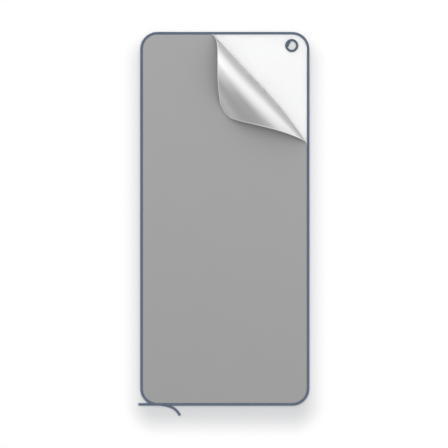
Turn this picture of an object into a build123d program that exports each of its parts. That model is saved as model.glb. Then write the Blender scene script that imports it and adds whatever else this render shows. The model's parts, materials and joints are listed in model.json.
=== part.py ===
from build123d import *
import math
import os

# Phone screen protector: clear glass with a soft edge strip, a camera ring and a peel-off cover film
# whose top right corner is rolled back. Millimetres. The origin is at the middle of the underside,
# with +Y towards the top of the phone and +Z away from its screen.

# Outline over the edge strip
overall_width = 71.5
overall_length = 158.0
corner_radius = 7.25

# Glass sheet
glass_thickness = 0.33
glass_edge_radius = 0.1

# Edge strip, bonded round the glass
strip_width = 1.04
strip_height = 0.45
strip_edge_radius = 0.12
bond_line = 0.05

# Loose ends of the strip at the bottom left corner: a straight end that runs on past the corner,
# and a tail that leaves the bottom edge in two tangent arcs. They lack the bead on top of the strip.
bead_height = 0.2
straight_end_reach = 0.75
tail_lead_radius = 16.1
tail_lead_turn = 19.5
tail_curl_radius = 7.3
tail_curl_turn = 45.0

# Camera opening, measured from the outline to its centre, and the ring that lines it
camera_from_right = 7.45
camera_from_top = 5.75
ring_bore_diameter = 3.6
ring_wall = 0.97
ring_height = 0.4
ring_edge_radius = 0.1

# Cover film
film_thickness = 0.12
film_margin = 0.1

# Rolled-back corner of the film. The crest line of the roll, seen from above, cuts the film's top and
# right edges at these distances from the film's unrounded corner. The film lifts off the glass on a
# tight arc, goes over on a wider one and comes down on the widest, so that its tip hangs just above
# the flat film.
peel_along_top = 39.0
peel_along_side = 43.6
lift_radius = 2.5
tip_turn = 65.0
tip_clearance = 0.85

# Sections in each stretch of the roll, and how far its rounded tip stops short of a point
sections_per_stretch = 8
blunt_tip_angle = 4.0


# Derived sizes of the flat pieces

half_width = overall_width / 2
half_length = overall_length / 2
glass_inset = strip_width + bond_line
film_inset = strip_width + film_margin
film_half_width = half_width - film_inset
film_half_length = half_length - film_inset
film_corner_radius = corner_radius - film_inset
film_middle_height = glass_thickness + film_thickness / 2
ring_bore_radius = ring_bore_diameter / 2
ring_outer_radius = ring_bore_radius + ring_wall
loose_end_height = strip_height - bead_height
camera_centre = Vector(half_width - camera_from_right, half_length - camera_from_top)


# Derived geometry of the roll: its directions in plan, the three radii of its section and, as distances
# along the film from the line where it leaves the glass, the places where these radii change

peel_hypotenuse = math.hypot(peel_along_top, peel_along_side)
toward_corner = Vector(peel_along_side, peel_along_top) / peel_hypotenuse
along_crest = Vector(toward_corner.Y, -toward_corner.X)
film_corner = Vector(film_half_width, film_half_length)
rounding_centre = film_corner - Vector(film_corner_radius, film_corner_radius)
corner_to_crest = peel_along_top * peel_along_side / peel_hypotenuse
contact_offset = film_corner.dot(toward_corner) - corner_to_crest - lift_radius

quarter_turn = math.pi / 2
tip_angle = math.radians(tip_turn)
fall_ratio = tip_angle / (1 - math.cos(tip_angle))
rounding_centre_distance = rounding_centre.dot(toward_corner) - contact_offset
peeled_length = rounding_centre_distance + film_corner_radius
roll_height = (peeled_length + tip_clearance * fall_ratio) / (quarter_turn + fall_ratio)
crown_radius = roll_height - lift_radius
crown_start = quarter_turn * lift_radius
tip_start = quarter_turn * roll_height
tip_radius = (peeled_length - tip_start) / tip_angle
rounding_angle = math.acos(min(toward_corner.X, toward_corner.Y))
rounding_start = rounding_centre_distance + film_corner_radius * math.cos(rounding_angle)

lift_centre = (0, lift_radius)
crown_centre = (lift_radius - crown_radius, lift_radius)
tip_centre = (lift_radius - crown_radius, roll_height - tip_radius)


def rounded_plate(inset, height):
    """Plate with the protector's outline, moved in by an inset."""
    plan = RectangleRounded(overall_width - 2 * inset, overall_length - 2 * inset, corner_radius - inset)
    return extrude(plan, height)


def arc_band(centre, radius, start_angle, turn, width):
    """Flat band of constant width along an arc, given by its middle line."""
    far = CenterArc(centre, radius + width / 2, start_angle, turn)
    near = CenterArc(centre, radius - width / 2, start_angle, turn)
    return make_face([far, near, Line(far @ 0, near @ 0), Line(far @ 1, near @ 1)])


def soften_top(part, height, radius):
    """Round the upper edges of a plate."""
    return fillet(part.edges().filter_by_position(Axis.Z, height, height), radius)


def make_glass_sheet():
    """Clear glass with its camera opening."""
    plate = soften_top(rounded_plate(glass_inset, glass_thickness), glass_thickness, glass_edge_radius)
    opening = extrude(Circle(ring_outer_radius + bond_line), glass_thickness)
    return plate - Pos(camera_centre) * opening


def make_edge_strip():
    """Soft strip round the glass, with its two loose ends at the bottom left corner."""
    corner_end = Vector(-half_width + corner_radius, -half_length + strip_width / 2)
    straight_length = corner_radius + straight_end_reach
    straight_middle = corner_end - Vector(straight_length / 2, 0)
    straight_end = Pos(straight_middle) * Rectangle(straight_length, strip_width)
    lead_centre = corner_end - Vector(0, tail_lead_radius)
    lead_end = 90 - tail_lead_turn
    curl_end = lead_end - tail_curl_turn
    curl_centre = lead_centre + Vector(tail_lead_radius - tail_curl_radius, 0).rotate(Axis.Z, lead_end)
    tail_lead = arc_band(lead_centre, tail_lead_radius, lead_end, tail_lead_turn, strip_width)
    tail_curl = arc_band(curl_centre, tail_curl_radius, curl_end, tail_curl_turn, strip_width)
    loose_ends = extrude(straight_end + tail_lead + tail_curl, loose_end_height)
    base = rounded_plate(0, loose_end_height) - rounded_plate(strip_width, loose_end_height) + loose_ends
    bead = rounded_plate(0, strip_height) - rounded_plate(strip_width, strip_height)
    return base + soften_top(bead, strip_height, strip_edge_radius)


def make_camera_ring():
    """Ring that lines the camera opening."""
    ring = extrude(Circle(ring_outer_radius) - Circle(ring_bore_radius), ring_height)
    return Pos(camera_centre) * soften_top(ring, ring_height, ring_edge_radius)


def section_point(distance, lift):
    """Point of the roll's section, at a distance along the film from the contact line.

    Lift moves the point off the film's middle surface, towards the inside of the roll.
    """
    if distance < crown_start:
        centre, radius = lift_centre, lift_radius
        angle = distance / lift_radius - quarter_turn
    elif distance < tip_start:
        centre, radius = crown_centre, crown_radius
        angle = (distance - crown_start) / crown_radius
    else:
        centre, radius = tip_centre, tip_radius
        angle = (distance - tip_start) / tip_radius + quarter_turn
    reach = radius - lift
    return centre[0] + reach * math.cos(angle), centre[1] + reach * math.sin(angle)


def ruling_ends(distance):
    """Where a straight line of the film, parallel to the crest, meets the film's top and right edges."""
    across = contact_offset + distance
    top_x = (across - toward_corner.Y * film_half_length) / toward_corner.X
    side_y = (across - toward_corner.X * film_half_width) / toward_corner.Y
    top_end = Vector(top_x, film_half_length).dot(along_crest)
    side_end = Vector(film_half_width, side_y).dot(along_crest)
    half_chord = math.sqrt(max(0, film_corner_radius**2 - (distance - rounding_centre_distance) ** 2))
    if top_x > rounding_centre.X:
        top_end = rounding_centre.dot(along_crest) - half_chord
    if side_y > rounding_centre.Y:
        side_end = rounding_centre.dot(along_crest) + half_chord
    return top_end, side_end


def ruling_section(distance):
    """Thin section through the rolled film along one of its straight lines."""
    top_end, side_end = ruling_ends(distance)
    half = film_thickness / 2
    corners = []
    for along, lift in ((top_end, -half), (side_end, -half), (side_end, half), (top_end, half)):
        across, height = section_point(distance, lift)
        plan = toward_corner * (contact_offset + across) + along_crest * along
        corners.append(plan + Vector(0, 0, film_middle_height + height))
    return Face(Wire.make_polygon(corners))


def make_roll():
    """Rolled-back corner in four stretches: lift, crown, straight-edged tip and rounded tip."""
    steps = [step / sections_per_stretch for step in range(sections_per_stretch + 1)]
    breaks = [0, crown_start, tip_start, rounding_start]
    stretches = [[near + (far - near) * step for step in steps] for near, far in zip(breaks, breaks[1:])]
    blunt_angle = math.radians(blunt_tip_angle)
    angles = [rounding_angle + (blunt_angle - rounding_angle) * step for step in steps]
    stretches.append([rounding_centre_distance + film_corner_radius * math.cos(angle) for angle in angles])
    return [loft([ruling_section(distance) for distance in stretch]) for stretch in stretches]


def make_cover_film():
    """Peel-off film: flat on the glass up to the contact line, and rolled back beyond it."""
    sheet = Pos(0, 0, glass_thickness) * rounded_plate(film_inset, film_thickness)
    contact_plane = Plane(toward_corner * contact_offset, z_dir=toward_corner)
    film = split(sheet, bisect_by=contact_plane, keep=Keep.BOTTOM)
    for stretch in make_roll():
        film += stretch
    return film


nodes = {
    "glass_sheet": make_glass_sheet(),
    "edge_strip": make_edge_strip(),
    "camera_ring": make_camera_ring(),
    "cover_film": make_cover_film(),
}

os.makedirs("parts", exist_ok=True)
for name, shape in nodes.items():
    shape.label = name
    export_step(shape, f"parts/{name}.step")
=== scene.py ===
"""Phone screen protector, dressed for pictures.

Clear glass with a soft slate edge strip, a lined camera opening and a grey peel-off film. The top right
corner of the film is rolled back over itself, so that its silver underside shows.
"""

import json
import math

import bpy
from bpy.props import FloatProperty, FloatVectorProperty, PointerProperty
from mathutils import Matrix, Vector


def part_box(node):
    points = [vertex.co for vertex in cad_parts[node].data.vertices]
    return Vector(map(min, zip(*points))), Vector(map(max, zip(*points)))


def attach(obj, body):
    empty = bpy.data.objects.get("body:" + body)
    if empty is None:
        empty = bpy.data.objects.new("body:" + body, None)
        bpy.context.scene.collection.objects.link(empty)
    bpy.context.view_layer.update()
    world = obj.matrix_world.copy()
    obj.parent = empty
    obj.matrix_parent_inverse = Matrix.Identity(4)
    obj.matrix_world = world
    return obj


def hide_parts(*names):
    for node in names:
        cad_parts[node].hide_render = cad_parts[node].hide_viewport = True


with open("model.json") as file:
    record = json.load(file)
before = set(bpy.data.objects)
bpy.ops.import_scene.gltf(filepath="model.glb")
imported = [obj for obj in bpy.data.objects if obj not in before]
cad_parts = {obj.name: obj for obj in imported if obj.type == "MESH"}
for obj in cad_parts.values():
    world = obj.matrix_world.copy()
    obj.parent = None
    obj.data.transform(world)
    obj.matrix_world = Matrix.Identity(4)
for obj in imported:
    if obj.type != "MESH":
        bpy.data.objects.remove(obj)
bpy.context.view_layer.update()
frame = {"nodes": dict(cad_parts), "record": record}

bl_info = {
    "name": "Phone Screen Protector",
    "version": (1, 0, 0),
    "blender": (4, 5, 0),
    "location": "View3D > Sidebar > Protector",
    "description": "Dresses a glass phone screen protector with a rolled-back cover film",
    "category": "Object",
}

MM = 0.001
QUARTER_TURN = math.pi / 2

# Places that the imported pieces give
FILM_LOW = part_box("cover_film")[0]
GLASS_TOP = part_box("glass_sheet")[1].z
OUTLINE_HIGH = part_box("edge_strip")[1]
RING_LOW, RING_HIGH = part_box("camera_ring")
CAMERA_CENTRE = (RING_LOW + RING_HIGH) / 2
MOUNTS = {mount["name"]: mount for mount in frame["record"]["mounts"]}
BORE_RADIUS = MOUNTS["camera_opening"]["dims"]["r_mm"] * MM

# How finely the film is divided, and how evenly its columns are spaced, from 0 to 1
ROLL_ROWS = 170
TIP_ROWS = 40
ROLL_COLUMNS = 96
EVEN_SPACING = 0.2
CORNER_STEPS = 24

# Angle by which the film's rounded tip stops short of a point, and the step that measures its slope
BLUNT_TIP = math.radians(5)
NORMAL_STEP = 0.005 * MM

# Station along the crest, with its ends at -1 and 1, beyond which the roll keeps its size
LAST_STATION = 1.3

# Angle between two faces from which their edge looks sharp
SHARP_ANGLE = math.radians(40)

# Division of the painted shadow in the camera ring, shares of its bevelled section and slimming of its
# ends
SHADE_STEPS = 36
SHADE_FLAT = 0.85
SHADE_SHOULDER = 0.7
SHADE_END = 0.25
SHADE_TAPER = 0.35

# Range in which most values of a noise lie, and a higher one that leaves out its lows
NOISE_RANGE = (0.3, 0.7)
PEAK_RANGE = (0.4, 0.8)

# Scales of the fine patterns, in waves for each metre, and depths of the dents
FILM_CLOUDS = 55.0
FILM_GRAIN = 5000.0
FILM_GRAIN_DEPTH = 0.004 * MM
SILVER_STREAKS = 60.0
SILVER_GRAIN = 3000.0
SILVER_GRAIN_DEPTH = 0.0004 * MM
BLADE_MARKS = 4000.0
SLATE_CLOUDS = 120.0
STRIP_GRAIN = 3500.0
STRIP_GRAIN_DEPTH = 0.004 * MM
RING_GRAIN = 6000.0
RING_GRAIN_DEPTH = 0.002 * MM
GLASS_HAZE = 80.0

# Roughness of each finish, from its smoothest to its roughest places
FILM_ROUGHNESS = (0.5, 0.6)
SILVER_ROUGHNESS = (0.27, 0.31)
CUT_ROUGHNESS = (0.45, 0.6)
STRIP_ROUGHNESS = (0.49, 0.61)
RING_ROUGHNESS = (0.36, 0.48)
GLASS_ROUGHNESS = (0.0, 0.05)

# Darkest and lightest tones of a finish against its colour
SILVER_DIM = 0.97
CUT_DIM = 0.9
SLATE_DIM = 0.9
SLATE_LIGHT = 1.12

# Direction in which the film's grey grows lighter as painted shading, and the share of this change that
# its clouds make
FILM_PAINTED_LIGHT_DIRECTION = (0.1, 1.0, 0.0)
FILM_CLOUD_TONE = 0.3

# Length of the silver's streaks against their width, and other values of the finishes
SILVER_STREAK_LENGTH = 14.0
SILVER_METAL = 0.9
FILM_GLOSS = 0.25
GLASS_IOR = 1.5


def length(name, description, default):
    """Property for a size in metres."""
    return FloatProperty(name=name, description=description, default=default, unit="LENGTH", precision=5)


def share(name, description, default):
    """Property for a plain ratio."""
    return FloatProperty(name=name, description=description, default=default, subtype="FACTOR", max=4.0)


def turn(name, description, degrees):
    """Property for an angle."""
    default = math.radians(degrees)
    return FloatProperty(name=name, description=description, default=default, subtype="ANGLE")


def colour(name, description, default):
    """Property for a colour, in linear values."""
    return FloatVectorProperty(
        name=name, description=description, default=default, size=3, subtype="COLOR", min=0.0, max=1.0
    )


class ProtectorFilmSettings(bpy.types.PropertyGroup):
    """Sizes and colours of the cover film."""

    thickness: length("Thickness", "Thickness of the film", 0.12 * MM)
    seat_gap: length("Seat gap", "Room between the glass and the film", 0.01 * MM)
    corner_radius: length("Corner radius", "Radius of the film's corners", 6.11 * MM)
    peel_along_top: length("Peel along top", "From the corner to the crest, on the top edge", 39.7 * MM)
    peel_along_side: length("Peel along side", "From the corner to the crest, on the side edge", 41.9 * MM)
    crest_bend: length("Crest bend", "How far the crest bends in at the side edge", 2.35 * MM)
    lift_radius: length("Lift radius", "Radius on which the film lifts off the glass", 2.2 * MM)
    crown_radius: length("Crown radius", "Radius on which the film goes over", 5.9 * MM)
    tip_radius: length("Tip radius", "Radius on which the film comes down", 15.7 * MM)
    tip_flare: share("Tip flare", "Growth of the tip radius from the middle to the side edge", 0.525)
    top_pinch: share("Top pinch", "Size of the roll at the top edge against its middle", 0.56)
    side_pinch: share("Side pinch", "Size of the roll at the side edge against its middle", 0.3)
    least_size: share("Least size", "Size that the roll keeps past its ends against its middle", 0.15)
    # Painted highlight: a pale band along the lifted cut edge stands in for the edge catching the light
    painted_highlight_band: length("Edge band", "Width of the pale line along the cut edge", 0.55 * MM)
    # Turns between which the painted shade along the fold gives way to the silver
    fold_start: turn("Fold start", "Turn of the film up to which it has the colour of the fold", 125)
    fold_end: turn("Fold end", "Turn of the film at which the fold has become silver", 160)
    # Turns between which the painted reflection towards the tip takes over from the silver
    milk_start: turn("Milk start", "Turn of the film from which the silver grows milky", 209)
    milk_end: turn("Milk end", "Turn of the film at which the silver has become milky", 237)
    # Painted shading: the upper grey is lighter and the lower grey darker
    grey_upper_painted_light: colour("Upper grey", "Face of the film towards the top", (0.372, 0.372, 0.376))
    grey_lower_painted_shade: colour("Lower grey", "Face of the film towards the bottom", (0.325, 0.325, 0.326))
    silver: colour("Silver", "Underside of the film", (0.71, 0.71, 0.715))
    # Painted shade: a darker grey along the fold stands in for the silver's darker reflection there
    fold: colour("Fold", "Underside along the fold, where it is stretched", (0.56, 0.56, 0.565))
    # Painted reflection: a pale matte grey towards the tip stands in for the silver's lighter reflection
    # there
    tip_painted_reflection: colour("Milk", "Underside where it turns down towards the tip", (0.585, 0.585, 0.59))
    # This colour serves both the film's cut edge and the painted highlight along it
    cut_edge_and_painted_highlight: colour("Cut edge", "Cut edge of the film", (0.8, 0.8, 0.8))


class ProtectorTrimSettings(bpy.types.PropertyGroup):
    """Colours of the glass, the strip and the ring, and sizes of the painted shadow in the ring."""

    strip_slate: colour("Strip", "Soft strip round the glass", (0.083, 0.117, 0.177))
    ring_slate: colour("Ring", "Ring in the camera opening", (0.07, 0.098, 0.152))
    glass_body: share("Glass body", "How much the thin glass shows against what lies under it", 0.3)
    glass_tint: colour("Glass", "Tint of the clear glass", (0.985, 0.99, 0.992))
    # Painted shadow: the shade in the ring is a dark crescent piece that stands in for the shadow inside
    # the camera opening
    shade_width: length("Shade width", "Width of the shade in the ring", 0.7 * MM)
    shade_seat: length("Shade seat", "How far the shade is let into the ring", 0.05 * MM)
    shade_height: length("Shade height", "Thickness of the shade", 0.14 * MM)
    shade_sink: length("Shade sink", "How far the shade sits below the ring's top", 0.08 * MM)
    shade_start: turn("Shade start", "Where the shade starts, from the right", 104)
    shade_end: turn("Shade end", "Where the shade ends, from the right", 199)


class ProtectorStageSettings(bpy.types.PropertyGroup):
    """Sizes and colours of the floor, the light and the view."""

    floor_side: length("Floor side", "Side of the square floor", 8.0)
    floor_gap: length("Floor gap", "Room between the floor and the part", 0.05 * MM)
    floor_white: colour("Floor", "Plain floor", (0.99, 0.99, 0.99))
    # Painted shade: the floor's colour darkens round the part and in its camera opening
    floor_painted_shade: colour("Floor shade", "Floor in the soft shade of the part", (0.68, 0.684, 0.695))
    outline_radius: length("Outline radius", "Radius of the part's corners", 7.25 * MM)
    shade_softness: length("Shade softness", "Half width of the shade's soft edge", 6.3 * MM)
    shade_spread: length("Shade spread", "How far the shade reaches past the part all round", 2.0 * MM)
    shade_drop: length("Shade drop", "How far the shade lies towards the bottom", 6.3 * MM)
    shade_tuck: length("Shade tuck", "How far the shade goes in under the strip", 0.5 * MM)
    sky_low: share("Low sky", "Level of the sky at the lower left", 0.42)
    sky_side: share("Side sky", "Level of the sky at the upper right", 0.745)
    sky_start: turn("Sky start", "Lean to the lower left at which the sky starts to grow lighter", 11.5)
    strip_level: share("Strip level", "Level of the strip light, from overhead to the upper left", 1.37)
    strip_bearing: turn("Strip bearing", "Direction across the strip light, from the right", 42)
    strip_left: turn("Strip left", "Lean to the lower left at which the strip light ends", 24.6)
    strip_left_full: turn("Strip left full", "Lean to the lower left up to which it is full", 6.4)
    strip_right_full: turn("Strip right full", "Lean to the upper right up to which it is full", 11.6)
    strip_right: turn("Strip right", "Lean to the upper right at which the strip light ends", 85)
    strip_foot: turn("Strip foot", "Lean to the lower right at which the strip light ends", 54.7)
    strip_foot_full: turn("Strip foot full", "Lean to the lower right up to which it is full", 31)
    window_level: share("Window level", "Level that the low window light adds", 0.6)
    window_bearing: turn("Window bearing", "Where the window light stands, from the right", 108)
    window_height: turn("Window height", "How high the window light stands", 9.3)
    window_core: turn("Window core", "Half width of the window light's full part", 27)
    window_reach: turn("Window reach", "Half width of the window light with its soft edge", 41)
    lamp_level: share("Lamp level", "Level that the round lamp at the left adds", 0.62)
    lamp_bearing: turn("Lamp bearing", "Where the round lamp stands, from the right", 163)
    lamp_height: turn("Lamp height", "How high the round lamp stands", 44)
    lamp_core: turn("Lamp core", "Half width of the round lamp's full part", 20)
    lamp_reach: turn("Lamp reach", "Half width of the round lamp with its soft edge", 34)
    picture_side: length("Picture side", "Width of the square picture at the part", 189.4 * MM)
    aim_left: length("Aim left", "Middle of the picture, left of the part's middle", 0.34 * MM)
    aim_down: length("Aim down", "Middle of the picture, below the part's middle", 2.21 * MM)
    lens: FloatProperty(name="Lens", description="Focal length", default=500.0, min=1.0, unit="CAMERA")


# Small helpers for the node trees


def add(tree, kind, inputs=None, **settings):
    """Add a node. A socket given as an input is linked, and any other value is set on it."""
    node = tree.nodes.new(kind)
    for name, value in settings.items():
        setattr(node, name, value)
    for socket, value in (inputs or {}).items():
        if isinstance(value, bpy.types.NodeSocket):
            tree.links.new(value, node.inputs[socket])
        else:
            node.inputs[socket].default_value = value
    return node


def calculate(tree, operation, *values):
    """Result of a calculation with numbers."""
    node = add(tree, "ShaderNodeMath", dict(enumerate(values)), operation=operation)
    return node.outputs["Value"]


def calculate_vector(tree, operation, *vectors):
    """Result of a calculation with vectors that gives a vector."""
    node = add(tree, "ShaderNodeVectorMath", dict(enumerate(vectors)), operation=operation)
    return node.outputs["Vector"]


def measure_vector(tree, operation, *vectors):
    """Result of a calculation with vectors that gives a number."""
    node = add(tree, "ShaderNodeVectorMath", dict(enumerate(vectors)), operation=operation)
    return node.outputs["Value"]


def sum_of(tree, first, second, scale):
    """First value plus the second one times a scale."""
    return calculate(tree, "MULTIPLY_ADD", second, scale, first)


def mixed(tree, factor, first, second):
    """Mix of two colours."""
    factor_input, first_input, second_input, colour_output = 0, 6, 7, 2
    inputs = {factor_input: factor, first_input: first, second_input: second}
    return add(tree, "ShaderNodeMix", inputs, data_type="RGBA").outputs[colour_output]


def ranged(tree, value, low, high, low_result=0.0, high_result=1.0, smooth=False):
    """Value mapped from one range to another."""
    inputs = {
        "Value": value,
        "From Min": low,
        "From Max": high,
        "To Min": low_result,
        "To Max": high_result,
    }
    kind = "SMOOTHSTEP" if smooth else "LINEAR"
    return add(tree, "ShaderNodeMapRange", inputs, interpolation_type=kind).outputs["Result"]


def noise(tree, place, scale, detail=2.0, roughness=0.5):
    """Noise at a place, as a value about one half."""
    inputs = {"Vector": place, "Scale": scale, "Detail": detail, "Roughness": roughness}
    return add(tree, "ShaderNodeTexNoise", inputs).outputs["Fac"]


def paint(tree, shader, tone):
    """Give the shader its colour."""
    tree.links.new(tone, shader.inputs["Base Color"])


def roughen(tree, shader, pattern, roughness, pattern_range=NOISE_RANGE):
    """Let a noise set the shader's roughness, between two values."""
    tree.links.new(ranged(tree, pattern, *pattern_range, *roughness), shader.inputs["Roughness"])


def dent(tree, shader, pattern, depth):
    """Let a noise make small dents in the surface."""
    inputs = {"Height": pattern, "Distance": depth}
    tree.links.new(add(tree, "ShaderNodeBump", inputs).outputs["Normal"], shader.inputs["Normal"])


def opaque(values, level=1.0):
    """Colour with full alpha, made lighter or darker by a level."""
    return (*(level * value for value in values), 1.0)


def new_finish(name):
    """New material with its node tree and main shader."""
    material = bpy.data.materials.new(name)
    material.use_nodes = True
    tree = material.node_tree
    return material, tree, tree.nodes["Principled BSDF"]


def object_place(tree):
    """Place on the part, in metres."""
    return add(tree, "ShaderNodeTexCoord").outputs["Object"]


# Finishes


def matte_film_finish(film):
    """Satin grey face of the film: painted shading that darkens it slowly towards the bottom, faint clouds
    and a fine grain.
    """
    material, tree, shader = new_finish("film_matte_grey")
    place = object_place(tree)
    # Painted shading: the grey grows lighter towards the top and darker towards the bottom
    painted_light_position = measure_vector(tree, "DOT_PRODUCT", place, FILM_PAINTED_LIGHT_DIRECTION)
    tone = ranged(tree, painted_light_position, FILM_LOW.y, -FILM_LOW.y)
    clouds = noise(tree, place, FILM_CLOUDS, detail=3.0)
    tone = sum_of(tree, tone, sum_of(tree, -FILM_CLOUD_TONE / 2, clouds, FILM_CLOUD_TONE), 1.0)
    paint(tree, shader, mixed(tree, tone, opaque(film.grey_lower_painted_shade), opaque(film.grey_upper_painted_light)))
    roughen(tree, shader, clouds, FILM_ROUGHNESS)
    dent(tree, shader, noise(tree, place, FILM_GRAIN), FILM_GRAIN_DEPTH)
    shader.inputs["Specular IOR Level"].default_value = FILM_GLOSS
    return material


def silver_film_finish(film):
    """Satin silver underside: soft streaks along the roll, a painted darker shade along the fold, a
    painted pale reflection towards the tip and a painted highlight at the cut edge.
    """
    material, tree, shader = new_finish("film_silver")
    place = object_place(tree)
    crest_turn = math.atan2(film.peel_along_side, film.peel_along_top)
    slim = 1 / SILVER_STREAK_LENGTH
    inputs = {"Vector": place, "Rotation": (0.0, 0.0, -crest_turn), "Scale": (1.0, slim, slim)}
    streak_place = add(tree, "ShaderNodeMapping", inputs, vector_type="TEXTURE").outputs["Vector"]
    streaks = noise(tree, streak_place, SILVER_STREAKS, detail=3.0)
    edge = add(tree, "ShaderNodeAttribute", attribute_name="cut_edge_and_painted_highlight").outputs["Fac"]
    turned = add(tree, "ShaderNodeAttribute", attribute_name="turn").outputs["Fac"]
    # Painted shade along the fold and painted reflection towards the tip, both set by how far the film has
    # turned
    past_fold = ranged(tree, turned, film.fold_start, film.fold_end, smooth=True)
    tip_reflection_share = ranged(tree, turned, film.milk_start, film.milk_end, smooth=True)
    tone = mixed(tree, streaks, opaque(film.silver, SILVER_DIM), opaque(film.silver))
    tone = mixed(tree, past_fold, opaque(film.fold), tone)
    tone = mixed(tree, tip_reflection_share, tone, opaque(film.tip_painted_reflection))
    # Painted highlight: a pale line along the lifted cut edge
    paint(tree, shader, mixed(tree, edge, tone, opaque(film.cut_edge_and_painted_highlight)))
    dull = calculate(tree, "MAXIMUM", tip_reflection_share, edge)
    tree.links.new(ranged(tree, dull, 0.0, 1.0, SILVER_METAL, 0.0), shader.inputs["Metallic"])
    roughen(tree, shader, streaks, SILVER_ROUGHNESS)
    dent(tree, shader, noise(tree, place, SILVER_GRAIN), SILVER_GRAIN_DEPTH)
    return material


def cut_edge_finish(film):
    """Pale cut edge of the film, with fine marks of the blade."""
    material, tree, shader = new_finish("film_cut_edge")
    marks = noise(tree, object_place(tree), BLADE_MARKS)
    paint(tree, shader, mixed(tree, marks, opaque(film.cut_edge_and_painted_highlight, CUT_DIM), opaque(film.cut_edge_and_painted_highlight)))
    roughen(tree, shader, marks, CUT_ROUGHNESS)
    return material


def slate_finish(name, slate, roughness, grain_scale, grain_depth):
    """Slate-blue moulded finish with a fine grain and faint clouds of tone."""
    material, tree, shader = new_finish(name)
    place = object_place(tree)
    clouds = noise(tree, place, SLATE_CLOUDS)
    paint(tree, shader, mixed(tree, clouds, opaque(slate, SLATE_DIM), opaque(slate, SLATE_LIGHT)))
    grain = noise(tree, place, grain_scale)
    roughen(tree, shader, grain, roughness)
    dent(tree, shader, grain, grain_depth)
    return material


def clear_glass_finish(trim):
    """Clear polished glass, with the faintest haze of handling."""
    material, tree, shader = new_finish("clear_glass")
    haze = noise(tree, object_place(tree), GLASS_HAZE, detail=4.0, roughness=0.6)
    roughen(tree, shader, haze, GLASS_ROUGHNESS, PEAK_RANGE)
    shader.inputs["Base Color"].default_value = opaque(trim.glass_tint)
    shader.inputs["Transmission Weight"].default_value = 1.0
    shader.inputs["Alpha"].default_value = trim.glass_body
    shader.inputs["IOR"].default_value = GLASS_IOR
    return material


def beyond_core(tree, place, stage):
    """Distance of a place from the core of the part's outline, which its corner radius surrounds."""
    core = (OUTLINE_HIGH.x - stage.outline_radius, OUTLINE_HIGH.y - stage.outline_radius, 0.0)
    mirrored = calculate_vector(tree, "ABSOLUTE", place)
    past = calculate_vector(tree, "SUBTRACT", mirrored, core)
    outside = calculate_vector(tree, "MAXIMUM", past, (0.0, 0.0, 0.0))
    return measure_vector(tree, "LENGTH", outside)


def floor_finish(stage):
    """White floor with a painted soft shade of the part, round it and in its camera opening."""
    material, tree, shader = new_finish("white_floor")
    place = object_place(tree)
    # Painted shade: lit is 0 in the soft shade of the part, dropped towards the bottom, and 1 under the
    # glass away from the camera opening
    dropped = calculate_vector(tree, "ADD", place, (0.0, stage.shade_drop, 0.0))
    edge, softness = stage.outline_radius + stage.shade_spread, stage.shade_softness
    lit = ranged(tree, beyond_core(tree, dropped, stage), edge - softness, edge + softness, smooth=True)
    tucked = stage.outline_radius - stage.shade_tuck
    under_part = calculate(tree, "LESS_THAN", beyond_core(tree, place, stage), tucked)
    from_opening = measure_vector(tree, "DISTANCE", place, (CAMERA_CENTRE.x, CAMERA_CENTRE.y, 0.0))
    past_opening = calculate(tree, "GREATER_THAN", from_opening, BORE_RADIUS)
    under_glass = calculate(tree, "MULTIPLY", under_part, past_opening)
    lit = calculate(tree, "MAXIMUM", lit, under_glass)
    paint(tree, shader, mixed(tree, lit, opaque(stage.floor_painted_shade), opaque(stage.floor_white)))
    shader.inputs["Roughness"].default_value = 1.0
    shader.inputs["Specular IOR Level"].default_value = 0.0
    return material


# Shape of the cover film


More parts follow.
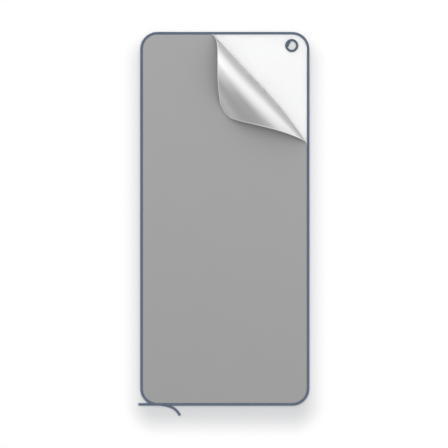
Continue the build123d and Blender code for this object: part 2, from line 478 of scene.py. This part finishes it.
class FilmRoll:
    """Flat outline of the film, and where each point of it goes on the rolled-back sheet.

    A point of the flat sheet has a distance across the crest, towards the peeled corner, and one along it.
    """

    def __init__(self, film):
        self.film = film
        self.half = Vector((-FILM_LOW.x, -FILM_LOW.y))
        self.middle_height = GLASS_TOP + film.seat_gap + film.thickness / 2
        top_end = self.half - Vector((film.peel_along_top, 0.0))
        side_end = self.half - Vector((0.0, film.peel_along_side))
        self.along = (side_end - top_end).normalized()
        self.across = Vector((-self.along.y, self.along.x))
        self.crest_offset = top_end.dot(self.across)
        self.crest_middle = (top_end + side_end).dot(self.along) / 2
        self.crest_half = (side_end - top_end).length / 2
        self.rounding_centre = self.half - Vector((film.corner_radius, film.corner_radius))
        self.rounding_across = self.rounding_centre.dot(self.across)
        self.rounding_along = self.rounding_centre.dot(self.along)

    def radii(self, along):
        """Crest offset and the lift, crown and tip radii at a place along the crest.

        The station is -1 at the top end of the crest, 0 at its middle and 1 at its side end.
        """
        film = self.film
        station = (along - self.crest_middle) / self.crest_half
        station = max(-LAST_STATION, min(LAST_STATION, station))
        slope = (film.side_pinch - film.top_pinch) / 2
        droop = 1 - (film.side_pinch + film.top_pinch) / 2
        size = max(film.least_size, 1 + slope * station - droop * station**2)
        crest = self.crest_offset - film.crest_bend * max(0.0, station) ** 2
        tip = film.tip_radius * (1 + film.tip_flare * station)
        return crest, film.lift_radius * size, film.crown_radius * size, tip

    def turns(self, point):
        """Angles by which the sheet has gone up, over and down again at a flat point, and its radii."""
        crest, lift, crown, tip = self.radii(point.dot(self.along))
        peeled = max(0.0, point.dot(self.across) - crest + lift)
        rise = min(peeled / lift, QUARTER_TURN)
        over = min(max(0.0, peeled - QUARTER_TURN * lift) / crown, QUARTER_TURN)
        down = max(0.0, peeled - QUARTER_TURN * (lift + crown)) / tip
        return (rise, over, down), (crest, lift, crown, tip)

    def turn(self, point):
        """Whole angle by which the sheet has turned at a flat point."""
        return sum(self.turns(point)[0])

    def place(self, point):
        """Place of a flat point on the middle surface of the sheet."""
        (rise, over, down), (crest, lift, crown, tip) = self.turns(point)
        reach = min(point.dot(self.across), crest - lift) + lift * math.sin(rise)
        reach -= crown * (1 - math.cos(over)) + tip * math.sin(down)
        height = lift * (1 - math.cos(rise)) + crown * math.sin(over) - tip * (1 - math.cos(down))
        plan = self.across * reach + self.along * point.dot(self.along)
        return Vector((plan.x, plan.y, self.middle_height + height))

    def normal(self, point):
        """Direction that the grey face looks in."""
        right, up = Vector((NORMAL_STEP, 0.0)), Vector((0.0, NORMAL_STEP))
        east = self.place(point + right) - self.place(point - right)
        north = self.place(point + up) - self.place(point - up)
        return east.cross(north).normalized()

    def row_ends(self, across):
        """Where a line parallel to the crest meets the film's top and side edges."""
        top_x = (across - self.across.y * self.half.y) / self.across.x
        side_y = (across - self.across.x * self.half.x) / self.across.y
        start = Vector((top_x, self.half.y)).dot(self.along)
        end = Vector((self.half.x, side_y)).dot(self.along)
        chord = self.film.corner_radius**2 - (across - self.rounding_across) ** 2
        chord = math.sqrt(max(0.0, chord))
        if top_x > self.rounding_centre.x:
            start = self.rounding_along - chord
        if side_y > self.rounding_centre.y:
            end = self.rounding_along + chord
        return start, end

    def row_offsets(self):
        """Distances across the crest at which the peeled corner is divided."""
        radius = self.film.corner_radius
        widest = math.acos(min(self.across.x, self.across.y))
        near = self.crest_offset - 2 * self.film.lift_radius - self.film.crest_bend
        far = self.rounding_across + radius * math.cos(widest)
        rows = [near + (far - near) * row / ROLL_ROWS for row in range(ROLL_ROWS)]
        angles = [widest + (BLUNT_TIP - widest) * row / TIP_ROWS for row in range(TIP_ROWS + 1)]
        return rows + [self.rounding_across + radius * math.cos(angle) for angle in angles]

    def peeled_grid(self):
        """Rows of flat points over the peeled corner, closer together towards the cut edges."""
        even = [column / ROLL_COLUMNS for column in range(ROLL_COLUMNS + 1)]
        crowded = [(1 - math.cos(math.pi * part)) / 2 for part in even]
        columns = [EVEN_SPACING * one + (1 - EVEN_SPACING) * other for one, other in zip(even, crowded)]
        grid = []
        for across in self.row_offsets():
            start, end = self.row_ends(across)
            places = [start + (end - start) * part for part in columns]
            grid.append([self.across * across + self.along * along for along in places])
        return grid

    def flat_outline(self):
        """Outline of the film round its three flat corners, from the top edge to the side edge."""
        radius = self.film.corner_radius
        inner = self.rounding_centre
        points = []
        for side, level, start in ((-1, 1, 90), (-1, -1, 180), (1, -1, 270)):
            centre = Vector((side * inner.x, level * inner.y))
            for step in range(CORNER_STEPS + 1):
                angle = math.radians(start + 90 * step / CORNER_STEPS)
                points.append(centre + Vector((math.cos(angle), math.sin(angle))) * radius)
        return points

    def edge_distance(self, point):
        """Distance of a flat point from the film's cut edge."""
        beyond = Vector((abs(point.x), abs(point.y))) - self.rounding_centre
        outside = Vector((max(0.0, beyond.x), max(0.0, beyond.y))).length
        return self.film.corner_radius - outside - min(0.0, max(beyond.x, beyond.y))

    def flat_area(self):
        """Area of the flat cut."""
        return 4 * self.half.x * self.half.y - (4 - math.pi) * self.film.corner_radius**2


def film_faces(roll):
    """Flat points of the film, its faces as lists of point numbers, and its cut edge as one loop."""
    grid = roll.peeled_grid()
    width = ROLL_COLUMNS + 1
    last = len(grid) - 1
    points = [point for line in grid for point in line]
    outline_points = roll.flat_outline()
    outline = list(range(len(points), len(points) + len(outline_points)))
    points += outline_points
    faces = [list(range(ROLL_COLUMNS, -1, -1)) + outline]
    for row in range(last):
        for column in range(ROLL_COLUMNS):
            corner = row * width + column
            faces.append([corner, corner + 1, corner + width + 1, corner + width])
    side_edge = [row * width + ROLL_COLUMNS for row in range(last + 1)]
    tip_edge = [last * width + column for column in range(ROLL_COLUMNS - 1, 0, -1)]
    top_edge = [row * width for row in range(last, -1, -1)]
    return points, faces, outline + side_edge + tip_edge + top_edge


def mark_film(mesh, roll, points, middles):
    """Note on each point how much of the painted highlight along the lifted cut edge it takes, and how far
    the film has turned there.
    """
    film = roll.film
    lift_off = roll.middle_height + film.thickness
    painted_highlight = []
    for point, middle in zip(points, middles):
        pale = max(0.0, 1 - roll.edge_distance(point) / film.painted_highlight_band)
        painted_highlight.append(pale if middle.z > lift_off else 0.0)
    turns = [roll.turn(point) for point in points]
    for name, values in (("cut_edge_and_painted_highlight", painted_highlight), ("turn", turns)):
        mesh.attributes.new(name, "FLOAT", "POINT").data.foreach_set("value", values + values)


def make_film_mesh(film):
    """Mesh of the film: grey face, silver underside and cut edge."""
    roll = FilmRoll(film)
    points, faces, loop = film_faces(roll)
    count = len(points)
    middles = [roll.place(point) for point in points]
    offsets = [roll.normal(point) * film.thickness / 2 for point in points]
    vertices = [middle + offset for middle, offset in zip(middles, offsets)]
    vertices += [middle - offset for middle, offset in zip(middles, offsets)]
    under = [[number + count for number in reversed(face)] for face in faces]
    rim = []
    for near, far in zip(loop, loop[1:] + loop[:1]):
        rim.append([near + count, far + count, far, near])
    mesh = bpy.data.meshes.new("peel_film")
    mesh.from_pydata(vertices, [], faces + under + rim)
    slots = [0] * len(faces) + [1] * len(under) + [2] * len(rim)
    mesh.polygons.foreach_set("material_index", slots)
    mesh.polygons.foreach_set("use_smooth", [True] * len(mesh.polygons))
    mesh.set_sharp_from_angle(angle=SHARP_ANGLE)
    mark_film(mesh, roll, points, middles)
    return mesh, roll


# Shape of the painted shadow in the camera ring


def make_painted_shadow_mesh(trim):
    """Mesh of the painted shadow in the camera ring, a dark piece in the ring's colour: a flat arc with
    slim ends and bevelled edges.
    """
    outer = BORE_RADIUS + trim.shade_seat
    low = RING_HIGH.z - trim.shade_sink - trim.shade_height
    right_half = [(SHADE_FLAT, 1.0), (1.0, SHADE_SHOULDER), (1.0, 0.0)]
    left_half = [(-side, level) for side, level in reversed(right_half)]
    section = left_half + right_half
    vertices, faces = [], []
    for step in range(SHADE_STEPS + 1):
        part = step / SHADE_STEPS
        angle = trim.shade_start + (trim.shade_end - trim.shade_start) * part
        taper = math.sin(math.pi * part) ** SHADE_TAPER
        reach = trim.shade_width / 2 * (SHADE_END + (1 - SHADE_END) * taper)
        for side, level in section:
            radius = outer - reach + side * reach
            x = CAMERA_CENTRE.x + radius * math.cos(angle)
            y = CAMERA_CENTRE.y + radius * math.sin(angle)
            vertices.append((x, y, low + trim.shade_height * level))
    size = len(section)
    for step in range(SHADE_STEPS):
        for corner in range(size):
            near, far = step * size + corner, step * size + (corner + 1) % size
            faces.append([near, far, far + size, near + size])
    faces.append(list(range(size - 1, -1, -1)))
    faces.append([SHADE_STEPS * size + corner for corner in range(size)])
    mesh = bpy.data.meshes.new("camera_painted_shadow")
    mesh.from_pydata(vertices, [], faces)
    mesh.set_sharp_from_angle(angle=SHARP_ANGLE)
    return mesh


def show(mesh, materials):
    """Put a mesh into the scene with its materials."""
    for material in materials:
        mesh.materials.append(material)
    piece = bpy.data.objects.new(mesh.name, mesh)
    bpy.context.scene.collection.objects.link(piece)
    return piece


def dress(node, material):
    """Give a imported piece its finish."""
    mesh = frame["nodes"][node].data
    mesh.materials.clear()
    mesh.materials.append(material)


# Stage


def make_floor(stage):
    """Floor just under the part, with a painted shade round the part."""
    half, level = stage.floor_side / 2, -stage.floor_gap
    mesh = bpy.data.meshes.new("floor")
    corners = [(-half, -half, level), (half, -half, level), (half, half, level), (-half, half, level)]
    mesh.from_pydata(corners, [], [[0, 1, 2, 3]])
    show(mesh, [floor_finish(stage)])


def round_light(tree, look, bearing, height, core, reach):
    """Soft round light in the sky, as a share of its full level."""
    flat = math.cos(height)
    aim = (flat * math.cos(bearing), flat * math.sin(bearing), math.sin(height))
    towards = measure_vector(tree, "DOT_PRODUCT", look, aim)
    return ranged(tree, towards, math.cos(reach), math.cos(core), smooth=True)


def make_sky(scene, stage):
    """Soft studio sky with a strip light from overhead to the upper left, a low window and a lamp."""
    world = bpy.data.worlds.new("studio_sky")
    world.use_nodes = True
    scene.world = world
    tree = world.node_tree
    look = add(tree, "ShaderNodeTexCoord").outputs["Generated"]
    east, north = math.cos(stage.strip_bearing), math.sin(stage.strip_bearing)
    across = measure_vector(tree, "DOT_PRODUCT", look, (east, north, 0.0))
    along = measure_vector(tree, "DOT_PRODUCT", look, (-north, east, 0.0))
    height = add(tree, "ShaderNodeSeparateXYZ", {0: look}).outputs["Z"]
    lean = calculate(tree, "ARCTAN2", across, height)
    left = ranged(tree, lean, -stage.strip_left, -stage.strip_left_full, smooth=True)
    right = ranged(tree, lean, stage.strip_right_full, stage.strip_right, 1.0, 0.0, smooth=True)
    foot_end, foot_full = -math.sin(stage.strip_foot), -math.sin(stage.strip_foot_full)
    foot = ranged(tree, along, foot_end, foot_full, smooth=True)
    strip = calculate(tree, "MULTIPLY", calculate(tree, "MULTIPLY", left, right), foot)
    base = ranged(tree, across, -math.sin(stage.sky_start), 1.0, stage.sky_low, stage.sky_side)
    level = ranged(tree, strip, 0.0, 1.0, base, stage.strip_level)
    window = (stage.window_bearing, stage.window_height, stage.window_core, stage.window_reach)
    level = sum_of(tree, level, round_light(tree, look, *window), stage.window_level)
    lamp = (stage.lamp_bearing, stage.lamp_height, stage.lamp_core, stage.lamp_reach)
    level = sum_of(tree, level, round_light(tree, look, *lamp), stage.lamp_level)
    tree.links.new(level, tree.nodes["Background"].inputs["Color"])


def make_camera(scene, stage):
    """Camera that looks straight down on the part."""
    data = bpy.data.cameras.new("camera")
    data.lens = stage.lens
    camera = bpy.data.objects.new("camera", data)
    distance = stage.picture_side * data.lens / data.sensor_width
    camera.location = (-stage.aim_left, -stage.aim_down, OUTLINE_HIGH.z + distance)
    scene.collection.objects.link(camera)
    scene.camera = camera


# Operators


class PROTECTOR_OT_cover_film(bpy.types.Operator):
    """Make the cover film with its rolled-back corner"""

    bl_idname = "protector.cover_film"
    bl_label = "Cover Film"

    def execute(self, context):
        film = context.scene.protector_film
        mesh, roll = make_film_mesh(film)
        finishes = [matte_film_finish(film), silver_film_finish(film), cut_edge_finish(film)]
        piece = show(mesh, finishes)
        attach(piece, "root")
        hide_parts("cover_film")
        roll.flat_area()
        return {"FINISHED"}


class PROTECTOR_OT_glass_sheet(bpy.types.Operator):
    """Give the glass sheet its finish"""

    bl_idname = "protector.glass_sheet"
    bl_label = "Glass Sheet"

    def execute(self, context):
        dress("glass_sheet", clear_glass_finish(context.scene.protector_trim))
        return {"FINISHED"}


class PROTECTOR_OT_edge_strip(bpy.types.Operator):
    """Give the edge strip its finish"""

    bl_idname = "protector.edge_strip"
    bl_label = "Edge Strip"

    def execute(self, context):
        slate = context.scene.protector_trim.strip_slate
        finish = slate_finish("slate_rubber", slate, STRIP_ROUGHNESS, STRIP_GRAIN, STRIP_GRAIN_DEPTH)
        dress("edge_strip", finish)
        return {"FINISHED"}


class PROTECTOR_OT_camera_ring(bpy.types.Operator):
    """Give the camera ring its finish, and make the dark piece inside it that stands in for a shadow"""

    bl_idname = "protector.camera_ring"
    bl_label = "Camera Ring"

    def execute(self, context):
        trim = context.scene.protector_trim
        slate = trim.ring_slate
        finish = slate_finish("slate_plastic", slate, RING_ROUGHNESS, RING_GRAIN, RING_GRAIN_DEPTH)
        dress("camera_ring", finish)
        piece = show(make_painted_shadow_mesh(trim), [finish])
        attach(piece, "root")
        return {"FINISHED"}


class PROTECTOR_OT_stage(bpy.types.Operator):
    """Make the floor, the light and the camera"""

    bl_idname = "protector.stage"
    bl_label = "Stage"

    def execute(self, context):
        stage = context.scene.protector_stage
        make_floor(stage)
        make_sky(context.scene, stage)
        make_camera(context.scene, stage)
        context.scene.view_settings.view_transform = "Standard"
        return {"FINISHED"}


class PROTECTOR_PT_pieces(bpy.types.Panel):
    """Pieces of the screen protector and their settings"""

    bl_idname = "PROTECTOR_PT_pieces"
    bl_label = "Screen Protector"
    bl_space_type = "VIEW_3D"
    bl_region_type = "UI"
    bl_category = "Protector"

    def draw(self, context):
        for operator in OPERATORS:
            self.layout.operator(operator.bl_idname)
        for group in SETTINGS:
            settings = getattr(context.scene, group)
            box = self.layout.box()
            for name in settings.__annotations__:
                box.prop(settings, name)


OPERATORS = (
    PROTECTOR_OT_cover_film,
    PROTECTOR_OT_glass_sheet,
    PROTECTOR_OT_edge_strip,
    PROTECTOR_OT_camera_ring,
    PROTECTOR_OT_stage,
)
SETTINGS = {
    "protector_film": ProtectorFilmSettings,
    "protector_trim": ProtectorTrimSettings,
    "protector_stage": ProtectorStageSettings,
}


def register():
    """Register the settings, the operators and the panel."""
    for name, group in SETTINGS.items():
        bpy.utils.register_class(group)
        setattr(bpy.types.Scene, name, PointerProperty(type=group))
    for operator in OPERATORS:
        bpy.utils.register_class(operator)
    bpy.utils.register_class(PROTECTOR_PT_pieces)


def unregister():
    """Undo what register did."""
    bpy.utils.unregister_class(PROTECTOR_PT_pieces)
    for operator in reversed(OPERATORS):
        bpy.utils.unregister_class(operator)
    for name, group in SETTINGS.items():
        delattr(bpy.types.Scene, name)
        bpy.utils.unregister_class(group)


def main():
    """Make every piece and the stage."""
    register()
    bpy.ops.protector.cover_film()
    bpy.ops.protector.glass_sheet()
    bpy.ops.protector.edge_strip()
    bpy.ops.protector.camera_ring()
    bpy.ops.protector.stage()


if __name__ == "__main__":
    main()
